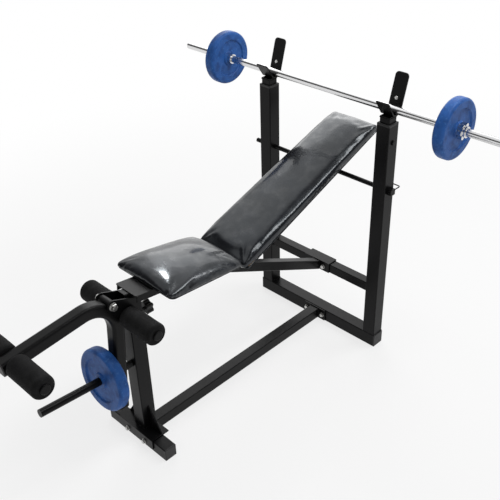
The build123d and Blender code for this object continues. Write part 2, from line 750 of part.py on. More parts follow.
# The front strap is a folded tongue along the rail, the rear one lies flat across it.
tongue_length = tongue_front + tongue_under
tongue_middle = (tongue_under - tongue_front) / 2
tongue_plane = seat_plane * Pos(0, tongue_middle, -strap_thickness)
tongue = extrude(tongue_plane * RectangleRounded(tongue_width, tongue_length, strap_corner), strap_thickness)
for side in (-1, 1):
    flange_x = side * (tongue_width - strap_thickness) / 2
    fold_plane = seat_plane * Pos(flange_x, tongue_middle, -tongue_depth)
    fold = Rectangle(strap_thickness, tongue_length - 2 * strap_corner)
    tongue += extrude(fold_plane * fold, tongue_depth - strap_thickness)
strap_plane = seat_plane * Pos(0, rear_strap, -strap_thickness)
strap = extrude(strap_plane * RectangleRounded(strap_length, strap_width, strap_corner), strap_thickness)
for item in seat_screws:
    tongue -= item
    strap -= item
straps = [tongue, strap]
for item in seat_screws:
    seat_board -= item
save("seat_straps", *straps)
save("seat_screws", *seat_screws)
save("seat_board", seat_board)
save("seat_pad", seat_pad)

# Backrest: two tubes, board and pad, hinged on ears beside the main rail
back_plane = Plane(origin=back_start, x_dir=(1, 0, 0), z_dir=back_up)
back_board = board(back_plane, back_length, back_lower_width, back_upper_width)
back_pad = cushion(back_frame(0, 0), back_length, back_lower_width, back_upper_width, back_side, back_crown,
                   back_swell_power)
back_pad -= back_board
pin_line = along_x(-upright_span, hinge.Y, hinge.Z)
back_rail_first = hinge_inset - back_rail_size / 2
back_screws = []
for side in (-1, 1):
    for place in back_screw_places:
        spot = Plane(back_plane * Pos(side * back_rail_offset, back_rail_first + place, -back_rail_size))
        back_screws.append(screw(spot, back_rail_size + screw_bite))
back_rails = []
for side in (-1, 1):
    tube_plane = Plane(back_frame(back_rail_first, -back_rail_size / 2) * Pos(side * back_rail_offset, 0, 0))
    tube = hollow_bar(tube_plane, back_rail_size, back_rail_wall, back_rail_corner, back_rail_length)
    tube -= rod(pin_line, hinge_pin_radius + pin_clearance, 2 * upright_span)
    for item in back_screws:
        tube -= item
    back_rails.append(tube)
save("back_rails", *back_rails)
for item in back_screws:
    back_board -= item
save("back_screws", *back_screws)
save("back_board", back_board)
save("back_pad", back_pad)

line_z = bend_z - down * (hinge.Y - bend_y)
hinge_ears = []
for side in (-1, 1):
    ear_plane = along_x(rail_half if side > 0 else -rail_half - ear_thickness, 0, 0)
    outline = round_plate((hinge_ear_radius, hinge.Y, hinge.Z),
                          (rail_half / 2, hinge.Y - hinge_ear_reach, line_z + hinge_ear_reach * down),
                          (rail_half / 2, hinge.Y + hinge_ear_reach, line_z - hinge_ear_reach * down))
    ear = extrude(ear_plane * outline, ear_thickness)
    ear -= rod(pin_line, hinge_pin_radius + pin_clearance, 2 * upright_span)
    hinge_ears.append(ear)
save("hinge_ears", *hinge_ears)
ear_face = rail_half + ear_thickness
tube_face = back_rail_offset - back_rail_size / 2
spacer_length = tube_face - ear_face - 2 * rest_gap
spacers = []
for side in (-1, 1):
    outward = sideways(side, side * (ear_face + rest_gap), hinge.Y, hinge.Z)
    spacers.append(ring(outward, hinge_spacer_radius, hinge_pin_radius + pin_clearance, spacer_length))
save("hinge_spacers", *spacers)
pin_end = back_rail_offset + back_rail_size / 2 + rest_gap
head_plane = sideways(-1, -pin_end, hinge.Y, hinge.Z)
pin_head = hex_head(head_plane, nut_size, nut_height, hinge_washer_radius, washer_thickness)
hinge_pin = rod(along_x(-pin_end, hinge.Y, hinge.Z), hinge_pin_radius, 2 * pin_end + nut_height) + pin_head
save("hinge_pin", hinge_pin)
nut_plane = along_x(pin_end, hinge.Y, hinge.Z)
hinge_nut = hex_head(nut_plane, nut_size, nut_height, hinge_washer_radius, washer_thickness)
save("hinge_nut", hinge_nut - hinge_pin)
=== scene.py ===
"""Adjustable weight bench with barbell and leg lever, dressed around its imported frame."""

from __future__ import annotations

import json
import logging
import math
from dataclasses import dataclass, field
from enum import Enum
from typing import Any, Mapping, Sequence

import bmesh
import bpy
import numpy as np
from mathutils import Matrix, Vector, noise

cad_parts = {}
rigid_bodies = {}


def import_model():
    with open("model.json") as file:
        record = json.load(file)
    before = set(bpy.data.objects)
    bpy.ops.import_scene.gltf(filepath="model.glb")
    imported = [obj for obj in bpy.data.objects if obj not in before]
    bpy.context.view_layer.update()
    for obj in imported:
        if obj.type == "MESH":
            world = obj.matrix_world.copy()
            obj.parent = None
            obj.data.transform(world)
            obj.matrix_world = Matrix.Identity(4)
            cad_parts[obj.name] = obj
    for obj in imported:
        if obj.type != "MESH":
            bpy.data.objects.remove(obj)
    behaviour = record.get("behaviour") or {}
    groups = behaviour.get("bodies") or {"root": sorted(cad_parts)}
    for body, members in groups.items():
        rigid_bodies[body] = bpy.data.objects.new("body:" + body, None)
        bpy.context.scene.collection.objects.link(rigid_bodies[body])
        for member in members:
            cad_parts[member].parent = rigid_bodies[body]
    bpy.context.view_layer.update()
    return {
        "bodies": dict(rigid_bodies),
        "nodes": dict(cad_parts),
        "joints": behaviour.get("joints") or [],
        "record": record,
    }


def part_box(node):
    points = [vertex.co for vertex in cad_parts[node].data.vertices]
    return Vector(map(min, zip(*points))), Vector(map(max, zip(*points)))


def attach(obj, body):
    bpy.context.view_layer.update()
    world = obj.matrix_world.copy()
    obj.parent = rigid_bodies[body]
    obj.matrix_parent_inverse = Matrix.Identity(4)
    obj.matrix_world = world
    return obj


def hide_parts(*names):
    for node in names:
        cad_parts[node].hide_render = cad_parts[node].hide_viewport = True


LOG = logging.getLogger("weight_bench")
Point = tuple[float, float, float]
Colour = tuple[float, float, float]


class Wire:
    """A node's output socket, whose arithmetic adds Math nodes to its tree."""

    def __init__(self, tree: "Tree", socket: bpy.types.NodeSocket) -> None:
        """Keep the tree and the socket that this wire comes from."""
        self.tree = tree
        self.socket = socket

    def out(self, name: str) -> "Wire":
        """Give another output of the same node."""
        return Wire(self.tree, self.socket.node.outputs[name])

    def _math(self, operation: str, first: Any, second: Any) -> "Wire":
        """Add one Math node with two inputs."""
        return self.tree.node("ShaderNodeMath", {"operation": operation}, {0: first, 1: second})

    def __add__(self, other: Any) -> "Wire":
        """Sum with a wire or a number."""
        return self._math("ADD", self, other)

    def __radd__(self, other: Any) -> "Wire":
        """Sum of a number with this wire."""
        return self._math("ADD", other, self)

    def __sub__(self, other: Any) -> "Wire":
        """Difference from a wire or a number."""
        return self._math("SUBTRACT", self, other)

    def __rsub__(self, other: Any) -> "Wire":
        """Difference of a number and this wire."""
        return self._math("SUBTRACT", other, self)

    def __mul__(self, other: Any) -> "Wire":
        """Product with a wire or a number."""
        return self._math("MULTIPLY", self, other)

    def most(self, other: Any) -> "Wire":
        """Larger of this wire and another value."""
        return self._math("MAXIMUM", self, other)

    def band(self, low: float, high: float) -> "Wire":
        """Smooth step of this wire from 0 at low to 1 at high."""
        settings = {"interpolation_type": "SMOOTHSTEP"}
        ends = {0: self, 1: low, 2: high, 3: 0.0, 4: 1.0}
        return self.tree.node("ShaderNodeMapRange", settings, ends)


class Tree:
    """A node tree with one method that adds any node."""

    def __init__(self, tree: bpy.types.NodeTree) -> None:
        """Start with the given tree, emptied."""
        self.tree = tree
        self.tree.nodes.clear()

    def node(
        self,
        kind: str,
        settings: Mapping[str, Any] | None = None,
        inputs: Mapping[int | str, Any] | None = None,
        output: int | str = 0,
    ) -> Wire:
        """Add a node, set it up and link it.

        Args:
            kind: Blender's type name of the node.
            settings: Attributes of the node, set first.
            inputs: Values or wires for its sockets, by name or index.
            output: Output socket that the returned wire comes from.

        Returns:
            A wire from that output.
        """
        made = self.tree.nodes.new(kind)
        for key, value in (settings or {}).items():
            setattr(made, key, value)
        for key, value in (inputs or {}).items():
            if isinstance(value, Wire):
                self.tree.links.new(value.socket, made.inputs[key])
            else:
                made.inputs[key].default_value = value
        return Wire(self, made.outputs[output]) if made.outputs else Wire(self, None)


class ShaderTree(Tree):
    """A material's node tree, with the few patterns that the finishes share."""

    def __init__(self, name: str) -> None:
        """Make an empty material of that name."""
        self.material = bpy.data.materials.new(name)
        self.material.use_nodes = True
        super().__init__(self.material.node_tree)
        self.place = self.node("ShaderNodeTexCoord", output="Object")

    def stretched(self, scale: Point) -> Wire:
        """Object coordinates scaled along each axis."""
        return self.node("ShaderNodeMapping", {}, {"Vector": self.place, "Scale": scale})

    def cloud(
        self, scale: float, detail: float = 3.0, vector: Wire | None = None, rough: float = 0.5
    ) -> Wire:
        """Soft noise from 0 to 1.

        Args:
            scale: Waves to the metre, about.
            detail: Number of finer octaves.
            vector: Coordinates, or None for the object's own.
            rough: Weight of the finer octaves.

        Returns:
            A wire with the noise value.
        """
        inputs = {"Vector": vector or self.place, "Scale": scale, "Detail": detail, "Roughness": rough}
        return self.node("ShaderNodeTexNoise", {}, inputs)

    def cells(self, scale: float, vector: Wire | None = None) -> Wire:
        """Distance from the nearest of many scattered points."""
        inputs = {"Vector": vector or self.place, "Scale": scale}
        return self.node("ShaderNodeTexVoronoi", {}, inputs, "Distance")

    def mix(self, share: Wire | float, first: Any, second: Any) -> Wire:
        """Colour between two, by a share from 0 to 1."""
        pair = [(*c, 1.0) if isinstance(c, tuple) else c for c in (first, second)]
        inputs = {0: share, 6: pair[0], 7: pair[1]}
        return self.node("ShaderNodeMix", {"data_type": "RGBA"}, inputs, 2)

    def bump(self, height: Wire, depth: float, strength: float, below: Wire | None = None) -> Wire:
        """Normal from a height pattern, laid over another bump where one is given."""
        inputs = {"Height": height, "Distance": depth, "Strength": strength}
        if below is not None:
            inputs["Normal"] = below
        return self.node("ShaderNodeBump", {}, inputs)

    def coated(self, colour: Wire, rough: Wire, specular: float, normal: Wire) -> bpy.types.Material:
        """Close the tree as paint, plastic or foam."""
        return self.principled(
            {"Base Color": colour, "Roughness": rough, "Specular IOR Level": specular, "Normal": normal}
        )

    def principled(self, inputs: Mapping[str, Any]) -> bpy.types.Material:
        """Close the tree with a Principled shader and give the material."""
        shader = self.node("ShaderNodeBsdfPrincipled", {}, inputs)
        self.node("ShaderNodeOutputMaterial", {}, {"Surface": shader})
        return self.material


@dataclass(frozen=True)
class PowderCoat:
    """Satin black powder coat with a fine peel, faint dust and a few rubbed spots."""

    name: str = "black_powder_coat"
    colour: Colour = (0.0040, 0.0040, 0.0043)
    rubbed: Colour = (0.022, 0.022, 0.023)
    roughness: float = 0.24
    specular: float = 0.12
    peel: float = 0.00025
    peel_scale: float = 520.0
    patch_scale: float = 42.0
    haze_scale: float = 11.0

    def build(self) -> bpy.types.Material:
        """Make the material."""
        t = ShaderTree(self.name)
        patches = t.cloud(self.patch_scale, 9.0, rough=0.66).band(0.63, 0.74)
        haze = t.cloud(self.haze_scale, 4.0)
        orange_peel = t.cloud(self.peel_scale, 2.0)
        colour = t.mix(patches * 0.55, self.colour, self.rubbed)
        rough = self.roughness + haze * 0.14 + patches * 0.18
        normal = t.bump(orange_peel, self.peel, 0.5, t.bump(haze, 0.0012, 0.3))
        return t.coated(colour, rough, self.specular, normal)


@dataclass(frozen=True)
class BrightChrome:
    """Chrome plate with fine lengthwise scratches and scattered dull specks."""

    name: str = "bright_chrome"
    colour: Colour = (0.7, 0.7, 0.705)
    speck: Colour = (0.3, 0.28, 0.26)
    scratch_scale: Point = (14.0, 900.0, 900.0)
    speck_scale: float = 240.0
    roughness: float = 0.12

    def build(self) -> bpy.types.Material:
        """Make the material."""
        t = ShaderTree(self.name)
        lines = t.cloud(1.0, 4.0, t.stretched(self.scratch_scale))
        crowded = t.cloud(9.0, 2.0).band(0.42, 0.62)
        specks = t.cloud(self.speck_scale, 3.0).band(0.67, 0.76) * crowded
        colour = t.mix(specks, self.colour, self.speck)
        rough = self.roughness + lines * 0.11 + specks * 0.35
        normal = t.bump(lines, 0.00006, 0.35)
        return t.principled(
            {"Base Color": colour, "Metallic": 1.0, "Roughness": rough, "Normal": normal}
        )


@dataclass(frozen=True)
class ZincPlate:
    """Zinc-plated steel of bolts, pins, screws and clips."""

    name: str = "zinc_plate"
    colour: Colour = (0.6, 0.6, 0.585)
    dull: Colour = (0.34, 0.335, 0.32)
    stain_scale: float = 170.0
    roughness: float = 0.24

    def build(self) -> bpy.types.Material:
        """Make the material."""
        t = ShaderTree(self.name)
        stain = t.cloud(self.stain_scale, 5.0)
        colour = t.mix(stain.band(0.45, 0.72), self.colour, self.dull)
        rough = self.roughness + stain * 0.22
        normal = t.bump(t.cloud(1500.0, 2.0), 0.00005, 0.4)
        return t.principled(
            {"Base Color": colour, "Metallic": 1.0, "Roughness": rough, "Normal": normal}
        )


@dataclass(frozen=True)
class BlueEnamel:
    """Royal blue coating of the weight plates, scuffed, with dull patches and grime."""

    name: str = "blue_enamel"
    colour: Colour = (0.022, 0.105, 0.37)
    deep: Colour = (0.012, 0.058, 0.22)
    scuffed: Colour = (0.09, 0.25, 0.57)
    patch_scale: float = 34.0
    grain_scale: float = 420.0
    scuff_scale: float = 95.0
    chip_scale: float = 190.0
    roughness: float = 0.36
    specular: float = 0.22

    def build(self) -> bpy.types.Material:
        """Make the material."""
        t = ShaderTree(self.name)
        patches = t.cloud(self.patch_scale, 5.0)
        grain = t.cloud(self.grain_scale, 3.0)
        scuffs = t.cloud(self.scuff_scale, 8.0, rough=0.7).band(0.53, 0.7)
        chips = t.cloud(self.chip_scale, 4.0).band(0.7, 0.75)
        colour = t.mix(patches.band(0.4, 0.72), self.colour, self.deep)
        colour = t.mix(scuffs * 0.6, colour, self.scuffed)
        colour = t.mix(chips * 0.6, colour, self.deep)
        rough = self.roughness + patches * 0.2 + scuffs * 0.2
        normal = t.bump(grain, 0.0003, 0.45, t.bump(patches, 0.0015, 0.35))
        return t.coated(colour, rough, self.specular, normal)


@dataclass(frozen=True)
class GlossVinyl:
    """Glossy black vinyl with a fine leather grain and hazy, uneven shine."""

    name: str = "gloss_black_vinyl"
    colour: Colour = (0.006, 0.006, 0.0072)
    # Lighter bluish tone in the base colour: partly dust, partly a painted reflection tint standing in
    # for the vinyl's bluish grey reflections
    dust_and_reflection_tint: Colour = (0.013, 0.0145, 0.019)
    sheen: Colour = (0.86, 0.94, 1.0)
    cloud_scale: float = 9.0
    rub_scale: float = 30.0
    crease_scale: float = 55.0
    grain_scale: float = 620.0
    roughness: float = 0.15
    specular: float = 0.4
    coat: float = 0.2
    coat_roughness: float = 0.055

    def build(self) -> bpy.types.Material:
        """Make the material."""
        t = ShaderTree(self.name)
        clouds = t.cloud(self.cloud_scale, 3.0)
        rubbed = t.cloud(self.rub_scale, 4.0).band(0.4, 0.85)
        grain = t.cells(self.grain_scale)
        # Painted reflection tint: random clouds of the lighter bluish colour, partly dust and partly
        # standing in for bluish grey reflections
        colour = t.mix(clouds.band(0.3, 0.8), self.colour, self.dust_and_reflection_tint)
        rough = self.roughness + clouds * 0.16 + rubbed * 0.05
        creases = t.bump(t.cloud(self.crease_scale, 4.0, rough=0.55), 0.0011, 0.26)
        normal = t.bump(grain, 0.00016, 0.16, creases)
        return t.principled(
            {
                "Base Color": colour,
                "Roughness": rough,
                "Specular IOR Level": self.specular,
                "Specular Tint": (*self.sheen, 1.0),
                "Coat Weight": self.coat + rubbed * 0.45,
                "Coat Roughness": self.coat_roughness,
                "Normal": normal,
            }
        )


@dataclass(frozen=True)
class RawBoard:
    """Pressed board under the pads: pale chips in a darker ground."""

    name: str = "pressed_board"
    colour: Colour = (0.36, 0.23, 0.12)
    chip: Colour = (0.55, 0.4, 0.24)
    dark: Colour = (0.15, 0.085, 0.045)
    lie: Point = (1.0, 0.45, 1.0)
    chip_scale: float = 230.0
    tone_scale: float = 120.0
    roughness: float = 0.72

    def build(self) -> bpy.types.Material:
        """Make the material."""
        t = ShaderTree(self.name)
        warped = t.stretched(self.lie)
        chips = t.cells(self.chip_scale, warped)
        tone = t.cloud(self.tone_scale, 6.0, warped)
        colour = t.mix(chips.band(0.25, 0.55), self.chip, self.colour)
        colour = t.mix(tone.band(0.56, 0.7) * 0.7, colour, self.dark)
        normal = t.bump(chips, 0.0005, 0.5)
        rough = self.roughness + tone * 0.18
        return t.principled({"Base Color": colour, "Roughness": rough, "Normal": normal})


@dataclass(frozen=True)
class BlackFoam:
    """Dense black foam of the rollers: matt, with open cells and rubbed patches."""

    name: str = "black_foam"
    colour: Colour = (0.0062, 0.0062, 0.0065)
    rubbed: Colour = (0.015, 0.015, 0.0156)
    pore_scale: float = 560.0
    patch_scale: float = 30.0
    roughness: float = 0.74
    specular: float = 0.16

    def build(self) -> bpy.types.Material:
        """Make the material."""
        t = ShaderTree(self.name)
        pores = t.cells(self.pore_scale)
        patches = t.cloud(self.patch_scale, 5.0)
        colour = t.mix(patches.band(0.42, 0.72), self.colour, self.rubbed)
        rough = self.roughness + patches * 0.18
        normal = t.bump(pores, 0.0006, 0.7, t.bump(patches, 0.002, 0.3))
        return t.coated(colour, rough, self.specular, normal)


@dataclass(frozen=True)
class MouldedBlack:
    """Moulded black plastic or rubber with a fine spark-eroded texture."""

    name: str
    colour: Colour = (0.013, 0.013, 0.0135)
    roughness: float = 0.42
    specular: float = 0.35
    texture: float = 0.00012
    spark_scale: float = 1100.0
    handled_scale: float = 60.0
    fading: float = 2.2

    def build(self) -> bpy.types.Material:
        """Make the material."""
        t = ShaderTree(self.name)
        spark = t.cloud(self.spark_scale, 2.0)
        handled = t.cloud(self.handled_scale, 4.0).band(0.45, 0.7)
        pale = tuple(c * self.fading for c in self.colour)
        colour = t.mix(handled * 0.6, self.colour, pale)
        rough = self.roughness + handled * 0.14 + spark * 0.06
        normal = t.bump(spark, self.texture, 0.6)
        return t.coated(colour, rough, self.specular, normal)


@dataclass(frozen=True)
class PaleFloor:
    """White studio floor that stays pale to the camera and keeps a soft shadow."""

    name: str = "pale_floor"
    colour: Colour = (0.9, 0.9, 0.9)
    lift: float = 0.74
    fade: tuple[float, float] = (1.0, 2.6)

    def build(self) -> bpy.types.Material:
        """Make the material."""
        t = ShaderTree(self.name)
        path = t.node("ShaderNodeLightPath", output="Is Camera Ray")
        seen = path.most(path.out("Is Glossy Ray")).most(path.out("Is Transmission Ray"))
        matt = t.node("ShaderNodeBsdfDiffuse", {}, {"Color": (*self.colour, 1.0)})
        glow = t.node("ShaderNodeEmission", {}, {"Color": (1.0, 1.0, 1.0, 1.0), "Strength": 1.0})
        away = t.node("ShaderNodeVectorMath", {"operation": "LENGTH"}, {0: t.place}, "Value")
        lift = self.lift + away.band(*self.fade) * (1.0 - self.lift)
        both = t.node("ShaderNodeMixShader", {}, {0: seen * lift, 1: matt, 2: glow})
        t.node("ShaderNodeOutputMaterial", {}, {"Surface": both})
        return t.material


class Slot(Enum):
    """The record's material slots, each with its finish."""

    FRAME = "frame_black"
    ZINC = "zinc"
    CHROME = "chrome"
    BLUE = "plate_blue"
    VINYL = "vinyl"
    BOARD = "board"
    FOAM = "foam"
    PLASTIC = "plastic"
    RUBBER = "rubber"


class Wardrobe:
    """Builds each slot's material once and hands it out."""

    def __init__(self) -> None:
        """Make every material."""
        finishes = {
            Slot.FRAME: PowderCoat(),
            Slot.ZINC: ZincPlate(),
            Slot.CHROME: BrightChrome(),
            Slot.BLUE: BlueEnamel(),
            Slot.VINYL: GlossVinyl(),
            Slot.BOARD: RawBoard(),
            Slot.FOAM: BlackFoam(),
            Slot.PLASTIC: MouldedBlack("moulded_plastic"),
            Slot.RUBBER: MouldedBlack("bumper_rubber", roughness=0.7),
        }
        self.materials = {slot: finish.build() for slot, finish in finishes.items()}

    def dress_nodes(self, frame: Mapping[str, Any]) -> None:
        """Give every CAD node the finish of its record slot."""
        for row in frame["record"]["subparts"]:
            mesh = frame["nodes"][row["node"]].data
            mesh.materials.clear()
            mesh.materials.append(self.materials[Slot(row["material_slot"])])

    def dress(self, piece: bpy.types.Object, slot: Slot) -> None:
        """Give a new piece the finish of a slot."""
        piece.data.materials.clear()
        piece.data.materials.append(self.materials[slot])


def piece_from(name: str, mesh: bpy.types.Mesh) -> bpy.types.Object:
    """Link a mesh to the scene as a smooth-shaded piece at the origin."""
    mesh.name = name
    mesh.shade_smooth()
    piece = bpy.data.objects.new(name, mesh)
    bpy.context.scene.collection.objects.link(piece)
    return piece


def mesh_from(points: Sequence[Sequence[float]], faces: Sequence[Sequence[int]]) -> bpy.types.Mesh:
    """Make a mesh from points and faces, merged and with its normals outward."""
    mesh = bpy.data.meshes.new("shape")
    mesh.from_pydata([tuple(p) for p in points], [], [tuple(f) for f in faces])
    work = bmesh.new()
    work.from_mesh(mesh)
    bmesh.ops.remove_doubles(work, verts=work.verts, dist=1e-6)
    bmesh.ops.recalc_face_normals(work, faces=work.faces)
    work.to_mesh(mesh)
    work.free()
    return mesh


def evaluated(source: bpy.types.Object) -> bpy.types.Mesh:
    """Plain mesh of an object with its modifiers, and the object removed."""
    graph = bpy.context.evaluated_depsgraph_get()
    mesh = bpy.data.meshes.new_from_object(source.evaluated_get(graph))
    bpy.data.objects.remove(source)
    return mesh


def with_modifier(mesh: bpy.types.Mesh, kind: str, settings: Mapping[str, Any]) -> bpy.types.Mesh:
    """Mesh with one modifier applied."""
    piece = piece_from("work", mesh)
    modifier = piece.modifiers.new("work", kind)
    for key, value in settings.items():
        setattr(modifier, key, value)
    return evaluated(piece)


def coordinates(mesh: bpy.types.Mesh) -> np.ndarray:
    """Vertex coordinates as an array of rows."""
    flat = np.zeros(len(mesh.vertices) * 3)
    mesh.vertices.foreach_get("co", flat)
    return flat.reshape(-1, 3)


def ring_faces(rings: int, count: int, closed: bool) -> list[Sequence[int]]:
    """Quads between neighbouring rings of points.

    Args:
        rings: Number of rings.
        count: Points on each ring.
        closed: Whether the last ring also joins the first.

    Returns:
        The point numbers of each face.
    """
    faces: list[Sequence[int]] = []
    for row in range(rings if closed else rings - 1):
        after = (row + 1) % rings
        for k in range(count):
            n = (k + 1) % count
            faces.append((row * count + k, row * count + n, after * count + n, after * count + k))
    return faces


class Shape(Enum):
    """Small shapes that are laid along a path."""

    BEAD = "bead"
    STAPLE = "staple"


@dataclass
class PathRow:
    """Geometry Nodes tree that lays small shapes along paths, such as weld beads and staples.

    Attributes:
        shape: What is laid.
        spacing: Distance along the path, in metres.
        size: Radius of the shape's section, in metres.
        length: Length of a staple's crown, in metres.
        seed: Seed of the small differences in size.
        spread: Least and most share of the full size.
    """

    shape: Shape
    spacing: float
    size: float
    length: float = 0.0
    seed: int = 3
    spread: tuple[float, float] = (0.82, 1.14)

    def _tree(
        self, material: bpy.types.Material, up: Vector
    ) -> tuple[bpy.types.NodeTree, dict[str, str]]:
        """Build the tree and give it with the identifiers of its named inputs."""
        group = bpy.data.node_groups.new(f"{self.shape.value}_row", "GeometryNodeTree")
        t = Tree(group)
        add = group.interface.new_socket
        add("Path", in_out="INPUT", socket_type="NodeSocketGeometry")
        names = {
            name: add(name, in_out="INPUT", socket_type="NodeSocketFloat").identifier
            for name in ("Spacing", "Size", "Length")
        }
        add("Row", in_out="OUTPUT", socket_type="NodeSocketGeometry")
        given = t.node("NodeGroupInput", output="Path")
        size, length = given.out("Size"), given.out("Length")
        spaced = {"Curve": given, "Length": given.out("Spacing")}
        points = t.node("GeometryNodeCurveToPoints", {"mode": "LENGTH"}, spaced)
        if self.shape is Shape.BEAD:
            item = t.node("GeometryNodeMeshIcoSphere", {}, {"Radius": size, "Subdivisions": 2})
        else:
            rod = {"Vertices": 8, "Radius": size, "Depth": length}
            crown = t.node("GeometryNodeMeshCylinder", {}, rod, "Mesh")
            lying = {"Geometry": crown, "Rotation": (0.0, math.pi / 2, 0.0)}
            item = t.node("GeometryNodeTransform", {}, lying)
        upright = t.node("FunctionNodeAlignRotationToVector", {"axis": "Z"}, {"Vector": up})
        turned = t.node(
            "FunctionNodeAlignRotationToVector",
            {"axis": "X", "pivot_axis": "Z"},
            {"Rotation": upright, "Vector": points.out("Tangent")},
        )
        sizes = {2: self.spread[0], 3: self.spread[1], "Seed": self.seed}
        scale = t.node("FunctionNodeRandomValue", {"data_type": "FLOAT"}, sizes, 1)
        laid = t.node(
            "GeometryNodeInstanceOnPoints",
            {},
            {"Points": points, "Instance": item, "Rotation": turned, "Scale": scale},
        )
        real = t.node("GeometryNodeRealizeInstances", {}, {"Geometry": laid})
        done = t.node("GeometryNodeSetMaterial", {}, {"Geometry": real, "Material": material})
        t.node("NodeGroupOutput", {}, {"Row": done})
        return group, names

    def build(
        self, name: str, paths: Sequence[Sequence[Point]], material: bpy.types.Material, up: Vector
    ) -> bpy.types.Object:
        """Lay the row along each path, which runs back to its start.

        Args:
            name: Name of the finished piece.
            paths: Points of each path, in metres.
            material: Finish of the shapes.
            up: Direction that each shape stands in.

        Returns:
            The piece, a plain mesh at the origin.
        """
        curve = bpy.data.curves.new(name, "CURVE")
        curve.dimensions = "3D"
        for path in paths:
            spline = curve.splines.new("POLY")
            spline.points.add(len(path) - 1)
            for point, place in zip(spline.points, path):
                point.co = (*place, 1.0)
            spline.use_cyclic_u = True
        guide = bpy.data.objects.new(f"{name}_guide", curve)
        bpy.context.scene.collection.objects.link(guide)
        group, names = self._tree(material, up)
        modifier = guide.modifiers.new("row", "NODES")
        modifier.node_group = group
        given = {"Spacing": self.spacing, "Size": self.size, "Length": self.length}
        for key, value in given.items():
            modifier[names[key]] = value
        return piece_from(name, evaluated(guide))


